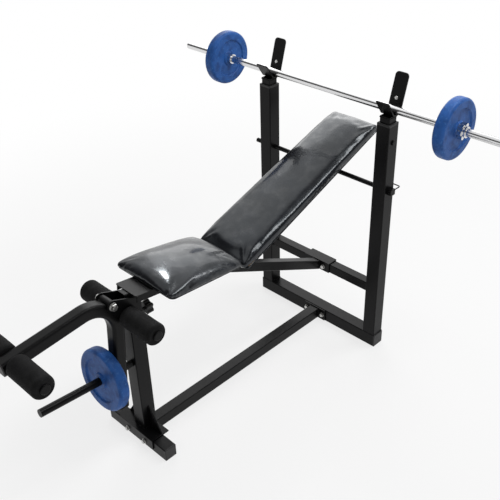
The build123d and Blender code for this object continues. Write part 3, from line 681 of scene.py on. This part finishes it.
@dataclass
class Cushion:
    """One vinyl pad on its board, along a sloping plane.

    Sizes are in metres. The pad starts at `start` and runs to the rear at `tilt` degrees. Names that
    begin with `end` are shares of a size left at the pad's ends, those with `cloth` belong to the
    simulation, and the puckers, pleats and creases are pressed in afterwards.
    """

    name: str
    node: str
    body: str
    start: Point
    tilt: float
    length: float
    near_width: float
    far_width: float
    side: float
    crown: float
    swell_power: float
    seed: int
    fill: float = 0.75
    voxel: float = 0.005
    pressure: float = 4.0
    most_swell: float = 0.005
    smoothing: int = 8
    settle: int = 3
    shrink: float = 0.002
    pucker: float = 0.0012
    pucker_spacing: float = 0.021
    pleat: float = 0.002
    pleat_reach: float = 0.042
    ripple: float = 0.0006
    board_inset: float = 0.012
    hem_width: float = 0.018
    hem_thickness: float = 0.0012
    stations: int = 72
    ring: int = 26
    corner_power: int = 8
    corner_root: float = 0.25
    end_width: float = 0.86
    end_side: float = 0.55
    end_crown: float = 0.1
    tuck_share: float = 0.16
    held_height: float = 0.003
    cloth_quality: int = 5
    cloth_mass: float = 0.25
    cloth_stiffness: float = 12.0
    cloth_bending: float = 0.4
    cloth_steps: int = 20
    smooth_factor: float = 0.5
    pucker_width: tuple[float, float] = (0.003, 0.0075)
    pucker_depth: tuple[float, float] = (-1.0, 0.75)
    fold_top: float = 1.15
    fold_foot: float = 0.004
    steep_from: float = 0.35
    steep_span: float = 0.4
    pleat_inset: float = 0.03
    pleat_waves: tuple[float, float] = (14.0, 23.0)
    pleat_blend: float = 0.6
    ripple_scale: float = 17.0
    crease_scale: float = 46.0
    crease_reach: float = 0.05
    crease_share: float = 0.8
    board_skin: float = 0.0035
    board_height: float = 0.004
    hem_inset: float = 0.007
    hem_corners: tuple[float, float] = (0.016, 0.012)
    hem_run: float = 1.6
    hem_wave: tuple[float, float] = (-0.02, 0.12)
    hem_lap: float = 0.0004
    staple_line: float = 0.6
    staple_corner: float = 0.014

    def __post_init__(self) -> None:
        """Work out the pad's own axes: across, along and up."""
        slope = math.radians(self.tilt)
        across = Vector((1.0, 0.0, 0.0))
        along = Vector((0.0, math.cos(slope), math.sin(slope)))
        up = Vector((0.0, -math.sin(slope), math.cos(slope)))
        self.axes = np.array([across, along, up])
        self.up = up
        self.random = np.random.default_rng(self.seed)

    def _out(self, local: np.ndarray) -> np.ndarray:
        """Pad coordinates (across, along, up) as points of the bench."""
        return np.array(self.start) + local @ self.axes

    def _in(self, points: np.ndarray) -> np.ndarray:
        """Points of the bench as pad coordinates."""
        return (points - np.array(self.start)) @ self.axes.T

    def _half(self, along: np.ndarray | float) -> np.ndarray | float:
        """Half the pad's nominal width at a distance along it."""
        return (self.near_width + (self.far_width - self.near_width) * along / self.length) / 2

    def _section(self, share: float) -> list[Point]:
        """One cross-section's points: flat base, bulging sides and crowned top."""
        middle = abs(2 * share - 1)
        fullness = max(0.0, 1 - middle**self.corner_power) ** self.corner_root
        swell = max(0.0, 1 - middle**self.swell_power) ** 0.5
        along = self.shrink + (self.length - 2 * self.shrink) * share
        half = self._half(along) * (self.end_width + (1 - self.end_width) * fullness) - self.shrink
        side = self.side * (self.end_side + (1 - self.end_side) * swell)
        crown = self.crown * (self.end_crown + (1 - self.end_crown) * swell) - self.shrink
        tuck = self.side * self.tuck_share
        flat = half - tuck
        steps = np.linspace(0.0, 1.0, self.ring, endpoint=False)
        base = [(-half + tuck + 2 * flat * s, along, 0.0) for s in steps]
        right = [(half - tuck * (2 * s - 1) ** 2, along, side * s) for s in steps]
        top = [(flat * (1 - 2 * s), along, side + crown * (1 - (2 * s - 1) ** 2)) for s in steps]
        left = [(-half + tuck * (2 * s - 1) ** 2, along, side * (1 - s)) for s in steps]
        return base + right + top + left

    def _shell(self) -> bpy.types.Mesh:
        """Closed lofted form that the cloth starts from."""
        points: list[Point] = []
        for index in range(self.stations + 1):
            share = (1 - math.cos(math.pi * index / self.stations)) / 2
            points += self._section(share)
        count = 4 * self.ring
        faces = ring_faces(self.stations + 1, count, closed=False)
        faces.append(range(count))
        faces.append(range(self.stations * count, (self.stations + 1) * count))
        return mesh_from(self._out(np.array(points)), faces)

    def _inflate(self, mesh: bpy.types.Mesh) -> bpy.types.Mesh:
        """Blow the remeshed form up as cloth held at its base, then cap how far it moved."""
        rest = coordinates(mesh)
        piece = piece_from("pad_cloth", mesh)
        held = piece.vertex_groups.new(name="held")
        base = np.nonzero(self._in(rest)[:, 2] < self.held_height)[0]
        held.add([int(i) for i in base], 1.0, "REPLACE")
        cloth = piece.modifiers.new("cloth", "CLOTH")
        cloth.settings.quality = self.cloth_quality
        cloth.settings.mass = self.cloth_mass
        cloth.settings.tension_stiffness = self.cloth_stiffness
        cloth.settings.compression_stiffness = self.cloth_stiffness
        cloth.settings.bending_stiffness = self.cloth_bending
        cloth.settings.use_pressure = True
        cloth.settings.uniform_pressure_force = self.pressure
        cloth.settings.effector_weights.gravity = 0.0
        cloth.settings.vertex_group_mass = "held"
        cloth.point_cache.frame_start = 1
        cloth.point_cache.frame_end = self.cloth_steps
        for step in range(1, self.cloth_steps + 1):
            bpy.context.scene.frame_set(step)
        swollen = evaluated(piece)
        bpy.context.scene.frame_set(1)
        move = coordinates(swollen) - rest
        far = np.linalg.norm(move, axis=1, keepdims=True)
        move *= np.minimum(1.0, self.most_swell / np.maximum(far, 1e-9))
        swollen.vertices.foreach_set("co", (rest + move).ravel())
        return swollen

    def _folds(self, place: np.ndarray, total: float) -> np.ndarray:
        """Uneven puckers along an edge, between about -1 and 1."""
        waves = np.zeros_like(place)
        for centre in np.arange(0.0, total, self.pucker_spacing):
            centre += self.random.uniform(-0.5, 0.5) * self.pucker_spacing
            width = self.random.uniform(*self.pucker_width)
            depth = self.random.uniform(*self.pucker_depth)
            waves += depth * np.exp(-(((place - centre) / width) ** 2))
        return waves

    @staticmethod
    def _noise(local: np.ndarray, scale: float, level: float) -> np.ndarray:
        """Smooth noise over the pad's plane, one value for each point."""
        return np.array([noise.noise(Vector((a * scale, b * scale, level))) for a, b in local[:, :2]])

    def _sculpt(self, mesh: bpy.types.Mesh) -> None:
        """Pull puckers into the lower edges, pleats into the corners and ripples into the top."""
        local = self._in(coordinates(mesh))
        normals = np.zeros(len(local) * 3)
        mesh.vertex_normals.foreach_get("vector", normals)
        normal = normals.reshape(-1, 3) @ self.axes.T
        across, along, up = local.T
        half = self._half(along)
        level = normal.copy()
        level[:, 2] = 0.0
        steep = np.linalg.norm(level, axis=1)
        level /= np.maximum(steep, 1e-6)[:, None]
        low = np.clip(self.fold_top - up / self.side, 0.0, 1.0) * np.clip(up / self.fold_foot, 0.0, 1.0)
        on_side = np.clip((steep - self.steep_from) / self.steep_span, 0.0, 1.0)
        lengthwise = np.abs(level[:, 0]) > np.abs(level[:, 1])
        right, left = (
            np.where(
                lengthwise,
                self._folds(along, self.length),
                self._folds(hand * across, self.near_width),
            )
            for hand in (1, -1)
        )
        edge = np.where(across > 0, right, left)
        local += level * (self.pucker * edge * low * on_side)[:, None]
        coarse, fine = self.pleat_waves
        inset = self.pleat_inset
        for end in (0.0, self.length):
            for hand in (-1, 1):
                centre = np.array([hand * (self._half(end) - inset), abs(end - inset)])
                away = local[:, :2] - centre
                corner = np.clip(away * [hand, 1 if end else -1], 0.0, None)
                reach = np.linalg.norm(away, axis=1) / self.pleat_reach
                close = np.clip(1 - reach, 0.0, 1.0) ** 0.5
                inside = np.minimum(corner[:, 0], corner[:, 1]) > 0
                angle = np.arctan2(corner[:, 1], corner[:, 0] + 1e-9)
                fold = np.cos(angle * coarse + self.random.uniform(0, 6)) * self.pleat_blend
                fold += np.cos(angle * fine) * (1 - self.pleat_blend)
                local += level * (self.pleat * fold * close * inside * low * on_side)[:, None]
        ripple = self._noise(local, self.ripple_scale, self.seed)
        crease = self._noise(local, self.crease_scale, self.seed + 9.0)
        near_edge = np.clip(1 - (half - np.abs(across)) / self.crease_reach, 0.0, 1.0)
        top = np.clip(normal[:, 2], 0.0, 1.0)
        creased = self.crease_share * self.ripple * near_edge * crease
        local[:, 2] += top * (self.ripple * ripple + creased)
        board = (up < self.board_skin) & (np.abs(across) < half - self.board_inset)
        board &= (along > self.board_inset) & (along < self.length - self.board_inset)
        local[board, 2] = self.board_height
        mesh.vertices.foreach_set("co", self._out(local).ravel())

    def _outline(
        self, inset: float, corner: float, height: float, step: float = 0.004
    ) -> np.ndarray:
        """Rounded trapezoid in pad coordinates.

        Args:
            inset: Distance inside the nominal outline.
            corner: Radius of its corners.
            height: Height above the pad's base.
            step: Distance between its points.

        Returns:
            The points, one to a row.
        """
        low, high = inset, self.length - inset
        near, far = self._half(low) - inset, self._half(high) - inset
        centres = [(near, low, 1, 1), (far, high, 1, -1), (-far, high, -1, -1), (-near, low, -1, 1)]
        angles = [(-90, 0), (0, 90), (90, 180), (180, 270)]
        points: list[Point] = []
        for (x, y, hand, way), (first, last) in zip(centres, angles):
            x, y = x - hand * corner, y + way * corner
            for angle in np.radians(np.linspace(first, last, 9)):
                points.append((x + corner * math.cos(angle), y + corner * math.sin(angle), height))
        loop = np.array(points + points[:1])
        gaps = np.linalg.norm(np.diff(loop, axis=0), axis=1)
        reach = np.concatenate([[0.0], np.cumsum(gaps)])
        places = np.linspace(0.0, reach[-1], int(reach[-1] / step), endpoint=False)
        return np.stack([np.interp(places, reach, loop[:, k]) for k in range(3)], axis=1)

    def _hem(self) -> bpy.types.Mesh:
        """Vinyl turned under the board: a thin band with an uneven inner edge."""
        outer_corner, inner_corner = self.hem_corners
        outer = self._outline(self.hem_inset, outer_corner, 0.0)
        inner = self._outline(self.board_inset + self.hem_width, inner_corner, 0.0)
        places = np.linspace(0.0, 1.0, len(outer), endpoint=False)
        known = np.linspace(0.0, 1.0, len(inner), endpoint=False)
        inner = np.stack([np.interp(places, known, inner[:, k]) for k in range(3)], axis=1)
        wave = self._folds(places * self.hem_run, self.hem_run)[:, None] * self.hem_wave[1]
        inner = inner + (outer - inner) * np.clip(wave, *self.hem_wave)
        drop = np.array([0.0, 0.0, self.hem_thickness])
        lift = np.array([0.0, 0.0, self.hem_lap])
        between = outer * 0.6 + inner * 0.4
        loops = [outer + lift, outer - drop * 0.5, between - drop, inner - drop, inner + lift]
        faces = ring_faces(len(loops), len(outer), closed=True)
        return mesh_from(self._out(np.concatenate(loops)), faces)

    def build(self, wardrobe: Wardrobe) -> bpy.types.Object:
        """Make the pad with its turned-under hem, and put it on its body.

        Args:
            wardrobe: The finishes.

        Returns:
            The finished pad.
        """
        remesh = {"mode": "VOXEL", "voxel_size": self.voxel, "use_smooth_shade": True}
        mesh = with_modifier(self._shell(), "REMESH", remesh)
        smooth = {"factor": self.smooth_factor, "iterations": self.smoothing}
        mesh = with_modifier(mesh, "SMOOTH", smooth)
        mesh = self._inflate(mesh)
        mesh = with_modifier(mesh, "SMOOTH", {**smooth, "iterations": self.settle})
        mesh = with_modifier(mesh, "SUBSURF", {"levels": 1, "render_levels": 1})
        self._sculpt(mesh)
        joined = bmesh.new()
        joined.from_mesh(mesh)
        joined.from_mesh(self._hem())
        joined.to_mesh(mesh)
        joined.free()
        pad = piece_from(self.name, mesh)
        wardrobe.dress(pad, Slot.VINYL)
        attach(pad, self.body)
        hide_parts(self.node)
        return pad

    def staples(self, wardrobe: Wardrobe) -> bpy.types.Object:
        """Row of staples that holds the hem under the board."""
        inset = self.board_inset + self.staple_line * self.hem_width
        outline = self._outline(inset, self.staple_corner, -self.hem_thickness)
        path = [tuple(point) for point in self._out(outline)]
        row = PathRow(Shape.STAPLE, spacing=0.027, size=0.00055, length=0.011, seed=self.seed)
        material = wardrobe.materials[Slot.ZINC]
        piece = row.build(f"{self.name}_staples", [path], material, self.up)
        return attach(piece, self.body)


@dataclass
class FoamRoller:
    """Foam sleeve on a rod, slightly squeezed and uneven, with soft ends.

    Its place and size come from the CAD node that it stands for.
    """

    node: str
    seed: int
    rod_radius: float = 0.0076
    edge: float = 0.0105
    unevenness: float = 0.0006
    wave_along: float = 21.0
    wave_round: float = 0.8
    wear: float = 0.6
    around: int = 96
    margin: float = 0.0004
    bore_depth: float = 0.004
    lip: tuple[float, float] = (0.002, 0.0016)
    face_start: float = 0.005
    face_depth: float = 0.0006
    body_gap: float = 0.003
    fill: float = 0.9

    def _profile(self, radius: float, length: float) -> list[tuple[float, float]]:
        """Half-section from the rod out and along, as (radius, along) pairs."""
        lip_out, lip_depth = self.lip
        shape = [(self.rod_radius, self.bore_depth), (self.rod_radius + lip_out, lip_depth)]
        face = np.linspace(self.rod_radius + self.face_start, radius - self.edge, 6)
        shape += [(r, self.face_depth) for r in face]
        for angle in np.linspace(0.0, math.pi / 2, 9)[1:]:
            out = radius - self.edge * (1 - math.sin(angle))
            shape.append((out, self.edge * (1 - math.cos(angle))))
        straight = np.linspace(self.edge + self.body_gap, length - self.edge - self.body_gap, 40)
        body = [(radius, along) for along in straight]
        return shape + body + [(r, length - along) for r, along in reversed(shape)]

    def build(self, wardrobe: Wardrobe) -> bpy.types.Object:
        """Make the roller and put it on its body."""
        low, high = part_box(self.node)
        axis_y, axis_z = (low.y + high.y) / 2, (low.z + high.z) / 2
        radius = (high.z - low.z) / 2 - self.margin
        length = high.x - low.x - 2 * self.margin
        profile = self._profile(radius, length)
        points: list[Point] = []
        for r, along in profile:
            for k in range(self.around):
                angle = 2 * math.pi * k / self.around
                y, z = math.cos(angle), math.sin(angle)
                swing = (along * self.wave_along, y * self.wave_round, z * self.wave_round + self.seed)
                worn = (r / radius) ** 3 * self.unevenness * (noise.noise(Vector(swing)) - self.wear)
                reach = r + min(0.0, worn)
                points.append((low.x + self.margin + along, axis_y + reach * y, axis_z + reach * z))
        faces = ring_faces(len(profile), self.around, closed=True)
        roller = piece_from(f"{self.node}_foam", mesh_from(points, faces))
        wardrobe.dress(roller, Slot.FOAM)
        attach(roller, self.node)
        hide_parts(self.node)
        return roller


class Across(Enum):
    """Direction that a welded joint's outline faces."""

    X = 0
    Y = 1
    Z = 2


@dataclass
class Welds:
    """Painted weld beads where tubes meet, one piece for each moving body."""

    bead: PathRow = field(
        default_factory=lambda: PathRow(Shape.BEAD, spacing=0.0026, size=0.0021, seed=11)
    )
    inset: float = 0.0006

    def _round(self, node: str, facing: Across, at: float) -> list[Point]:
        """Square path round a node's box, in the plane that faces an axis at a place."""
        low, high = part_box(node)
        first, second = [k for k in range(3) if k != facing.value]
        path = []
        for a, b in ((0, 0), (1, 0), (1, 1), (0, 1)):
            point = [0.0, 0.0, 0.0]
            point[facing.value] = at
            point[first] = high[first] - self.inset if a else low[first] + self.inset
            point[second] = high[second] - self.inset if b else low[second] + self.inset
            path.append(tuple(point))
        return path

    def build(self, wardrobe: Wardrobe) -> list[bpy.types.Object]:
        """Make every body's beads."""
        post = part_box("front_post")[0]
        rail_low, rail_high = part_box("floor_rail")
        cross_low, cross_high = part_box("middle_cross_tube")
        paths: dict[str, list[list[Point]]] = {"frame": [], "left_catch": [], "right_catch": []}
        for hand in ("left", "right"):
            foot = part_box(f"{hand}_upright")[0].z
            paths["frame"].append(self._round(f"{hand}_upright", Across.Z, foot))
            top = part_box(f"{hand}_catch_tube")[1].z
            paths[f"{hand}_catch"].append(self._round(f"{hand}_catch_tube", Across.Z, top))
        paths["frame"].append(self._round("middle_cross_tube", Across.X, cross_low.x))
        paths["frame"].append(self._round("middle_cross_tube", Across.X, cross_high.x))
        paths["frame"].append(self._round("front_post", Across.Z, post.z))
        paths["frame"].append(self._round("floor_rail", Across.Y, rail_low.y))
        paths["frame"].append(self._round("floor_rail", Across.Y, rail_high.y))
        material = wardrobe.materials[Slot.FRAME]
        made = []
        for body, loops in paths.items():
            piece = self.bead.build(f"{body}_weld_beads", loops, material, Vector((0, 0, 1)))
            made.append(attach(piece, body))
        return made


@dataclass(frozen=True)
class Lamp:
    """One soft rectangular lamp: place, width and height, power, the point it faces and its beam."""

    name: str
    place: Point
    size: tuple[float, float]
    power: float
    aim: Point = (0.0, -0.5, 0.5)
    beam: float = 180.0

    def hang(self) -> None:
        """Add the lamp to the scene, out of the camera's sight."""
        data = bpy.data.lights.new(self.name, "AREA")
        data.shape = "RECTANGLE"
        data.size, data.size_y = self.size
        data.energy = self.power
        data.spread = math.radians(self.beam)
        lamp = bpy.data.objects.new(self.name, data)
        lamp.location = self.place
        facing = Vector(self.aim) - Vector(self.place)
        lamp.rotation_euler = facing.to_track_quat("-Z", "Y").to_euler()
        lamp.visible_camera = False
        bpy.context.scene.collection.objects.link(lamp)


LAMPS = (
    Lamp("far_window", (-3.0, 2.8, 2.9), (3.6, 3.4), 72.0),
    Lamp("left_window", (-1.55, 0.5, 2.82), (2.8, 1.9), 8.0),
    Lamp("key_softbox", (2.4, -1.2, 2.9), (1.2, 1.2), 9.0),
    Lamp(
        "low_softbox", (-0.36, -0.55, 1.25), (0.12, 0.12), 0.13, aim=(0.054, -0.776, 0.605), beam=38.0
    ),
    Lamp("edge_strip", (0.9, 0.75, 2.9), (2.5, 0.5), 40.0, aim=(0.0, 0.75, 0.5)),
)


@dataclass
class Stage:
    """Pale floor, soft lamps, white surround and the photograph's camera.

    Attributes:
        surround: Strength of the surround as light.
        ceiling: Heights of a direction between which the near side's dim part sets in.
        skylight: Heights between which it ends again, over the left side.
        left: Sideways reach of that opening, from none to all of it.
        near_side: Level direction of the dim side.
        turn: Share of a direction along near_side between which the dim part sets in.
        overhead: Strength of the dim part in reflections.
    """

    camera_place: Point = (1.5486, -1.8980, 1.8840)
    yaw: float = 0.7928
    pitch: float = 0.5759
    roll: float = -0.0304
    lens: float = 55.96
    sensor: float = 36.0
    floor_size: float = 60.0
    floor_drop: float = 0.0006
    surround: float = 0.34
    ceiling: tuple[float, float] = (0.1, 0.28)
    skylight: tuple[float, float] = (0.62, 0.76)
    left: tuple[float, float] = (0.0, -0.35)
    near_side: Point = (0.45, -0.89, 0.0)
    turn: tuple[float, float] = (-0.45, -0.1)
    overhead: float = 0.08

    def _camera(self) -> None:
        """Put the camera at the photograph's viewpoint."""
        yaw, pitch, roll = self.yaw, self.pitch, self.roll
        flat = math.cos(pitch)
        ahead = Vector((-math.sin(yaw) * flat, math.cos(yaw) * flat, -math.sin(pitch)))
        level = Vector((math.cos(yaw), math.sin(yaw), 0.0))
        over = level.cross(ahead)
        right = level * math.cos(roll) + over * math.sin(roll)
        top = over * math.cos(roll) - level * math.sin(roll)
        data = bpy.data.cameras.new("camera")
        data.sensor_width = self.sensor
        data.lens = self.lens
        camera = bpy.data.objects.new("camera", data)
        turn = Matrix((right, top, -ahead)).transposed().to_4x4()
        camera.matrix_world = Matrix.Translation(self.camera_place) @ turn
        bpy.context.scene.collection.objects.link(camera)
        bpy.context.scene.camera = camera

    def _world(self) -> None:
        """White surround to the camera, dim above the near side in reflections and softer as light."""
        world = bpy.data.worlds.new("studio")
        world.use_nodes = True
        bpy.context.scene.world = world
        t = Tree(world.node_tree)
        path = t.node("ShaderNodeLightPath", output="Is Camera Ray")
        seen = path.most(path.out("Is Glossy Ray")).most(path.out("Is Transmission Ray"))
        way = t.node("ShaderNodeTexCoord", output="Generated")
        side = t.node("ShaderNodeSeparateXYZ", {}, {0: way}, "X")
        height = side.out("Z")
        facing = {0: way, 1: self.near_side}
        near = t.node("ShaderNodeVectorMath", {"operation": "DOT_PRODUCT"}, facing, "Value")
        lit = height.band(*self.skylight) * side.band(*self.left)
        dim = height.band(*self.ceiling) * near.band(*self.turn) * (1.0 - lit) * (1.0 - path)
        shown = 1.0 - dim * (1.0 - self.overhead)
        strength = self.surround + seen * (shown - self.surround)
        white = {"Color": (1.0, 1.0, 1.0, 1.0), "Strength": strength}
        back = t.node("ShaderNodeBackground", {}, white)
        t.node("ShaderNodeOutputWorld", {}, {"Surface": back})

    def build(self) -> None:
        """Make the floor, the lamps, the surround and the camera."""
        half = self.floor_size / 2
        square = ((-half, -half), (half, -half), (half, half), (-half, half))
        corners = [(x, y, -self.floor_drop) for x, y in square]
        floor = piece_from("floor", mesh_from(corners, [(0, 1, 2, 3)]))
        floor.data.materials.append(PaleFloor().build())
        self._world()
        for lamp in LAMPS:
            lamp.hang()
        self._camera()
        bpy.context.scene.view_settings.view_transform = "Standard"


SEAT = Cushion(
    name="seat_cushion",
    node="seat_pad",
    body="frame",
    start=(0.0, -0.822, 0.572),
    tilt=-7.5,
    length=0.312,
    near_width=0.272,
    far_width=0.240,
    side=0.023,
    crown=0.031,
    swell_power=2.2,
    seed=5,
)
BACK = Cushion(
    name="back_cushion",
    node="back_pad",
    body="backrest",
    start=(0.0, -0.505169, 0.505576),
    tilt=20.0,
    length=0.734,
    near_width=0.242,
    far_width=0.215,
    side=0.027,
    crown=0.012,
    swell_power=9.0,
    seed=8,
    most_swell=0.004,
    pleat=0.0012,
    settle=8,
)
ROLLERS = tuple(
    FoamRoller(f"{hand}_{place}_roller", seed)
    for seed, (hand, place) in enumerate((h, p) for p in ("knee", "ankle") for h in ("left", "right"))
)


def main() -> None:
    """Load the frame, dress it and build every piece around it."""
    logging.basicConfig(level=logging.INFO, format="%(name)s: %(message)s")
    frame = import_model()
    wardrobe = Wardrobe()
    wardrobe.dress_nodes(frame)
    Stage().build()
    made = []
    for cushion in (SEAT, BACK):
        made += [cushion.build(wardrobe), cushion.staples(wardrobe)]
    made += [roller.build(wardrobe) for roller in ROLLERS]
    made += Welds().build(wardrobe)
    for piece in made:
        LOG.info("%s has %d faces", piece.name, len(piece.data.polygons))


if __name__ == "__main__":
    main()
